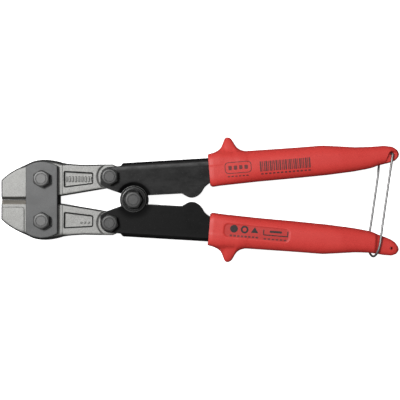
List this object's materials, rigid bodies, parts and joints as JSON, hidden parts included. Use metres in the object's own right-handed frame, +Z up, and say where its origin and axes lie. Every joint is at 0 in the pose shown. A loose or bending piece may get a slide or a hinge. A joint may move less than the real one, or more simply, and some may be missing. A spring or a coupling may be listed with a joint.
{
  "type": "bolt cutters",
  "caption": "Compact compound-lever bolt cutters: forged centre-cut jaws between head plates, black sheet levers, red moulded grips with thumb guards, and a wire bail latching them shut.",
  "frame": {"origin": "centre of the footprint, on the surface the tool lies on; its bolt ends touch that surface", "axes": "+X from the jaws to the grips, +Y to the upper handle, +Z up along the bolts, bolt heads on top"},
  "size_m": [0.2491, 0.078, 0.0252],
  "materials": {
    "forged_steel": "satin forged and ground steel",
    "plate_steel": "satin grey stamped steel",
    "fastener_steel": "dark grey phosphated steel",
    "black_lacquer": "satin black lacquer on folded sheet",
    "red_plastic": "satin red moulded plastic, finely textured",
    "bright_wire": "bright drawn spring wire"
  },
  "bodies": {
    "head": {"front_head_plate": "plate_steel", "rear_head_plate": "plate_steel", "upper_jaw_bolt": "fastener_steel", "upper_jaw_nut": "fastener_steel", "lower_jaw_bolt": "fastener_steel", "lower_jaw_nut": "fastener_steel"},
    "upper_jaw_arm": {"upper_jaw": "forged_steel"},
    "lower_jaw_arm": {"lower_jaw": "forged_steel"},
    "upper_handle": {"upper_lever": "black_lacquer", "upper_grip": "red_plastic", "upper_link_bolt": "fastener_steel", "upper_link_nut": "fastener_steel", "centre_bolt": "fastener_steel", "centre_nut": "fastener_steel", "front_centre_washer": "fastener_steel", "rear_centre_washer": "fastener_steel", "centre_spacer": "fastener_steel"},
    "lower_handle": {"lower_lever": "black_lacquer", "lower_grip": "red_plastic", "lower_link_bolt": "fastener_steel", "lower_link_nut": "fastener_steel"},
    "bail": {"wire_bail": "bright_wire"}
  },
  "joints": [
    {"name": "upper_jaw_swing", "type": "hinge", "parent": "head", "child": "upper_jaw_arm", "pos_m": [-0.09815, 0.013, 0.0132], "axis": [0, 0, 1], "range_deg": [-8.5, 0]},
    {"name": "lower_jaw_swing", "type": "hinge", "parent": "head", "child": "lower_jaw_arm", "pos_m": [-0.09815, -0.013, 0.0132], "axis": [0, 0, 1], "range_deg": [0, 8.5]},
    {"name": "handle_opening", "type": "hinge", "parent": "upper_jaw_arm", "child": "upper_handle", "pos_m": [-0.05635, 0.0144, 0.0132], "axis": [0, 0, 1], "range_deg": [0, 29], "deforming": ["wire_bail"]},
    {"name": "lower_handle_swing", "type": "hinge", "parent": "lower_jaw_arm", "child": "lower_handle", "pos_m": [-0.05635, -0.0144, 0.0132], "axis": [0, 0, 1], "range_deg": [-29.1, 0]},
    {"name": "bail_swing", "type": "hinge", "parent": "upper_handle", "child": "bail", "pos_m": [0.11946, 0.02885, 0.0132], "axis": [0, 0, 1], "range_deg": [0, 150]}
  ],
  "couplings": [
    {"joint": "upper_jaw_swing", "follows": "handle_opening", "ratio": -0.29},
    {"joint": "lower_jaw_swing", "follows": "handle_opening", "ratio": 0.29},
    {"joint": "lower_handle_swing", "follows": "handle_opening", "ratio": -1}
  ]
}
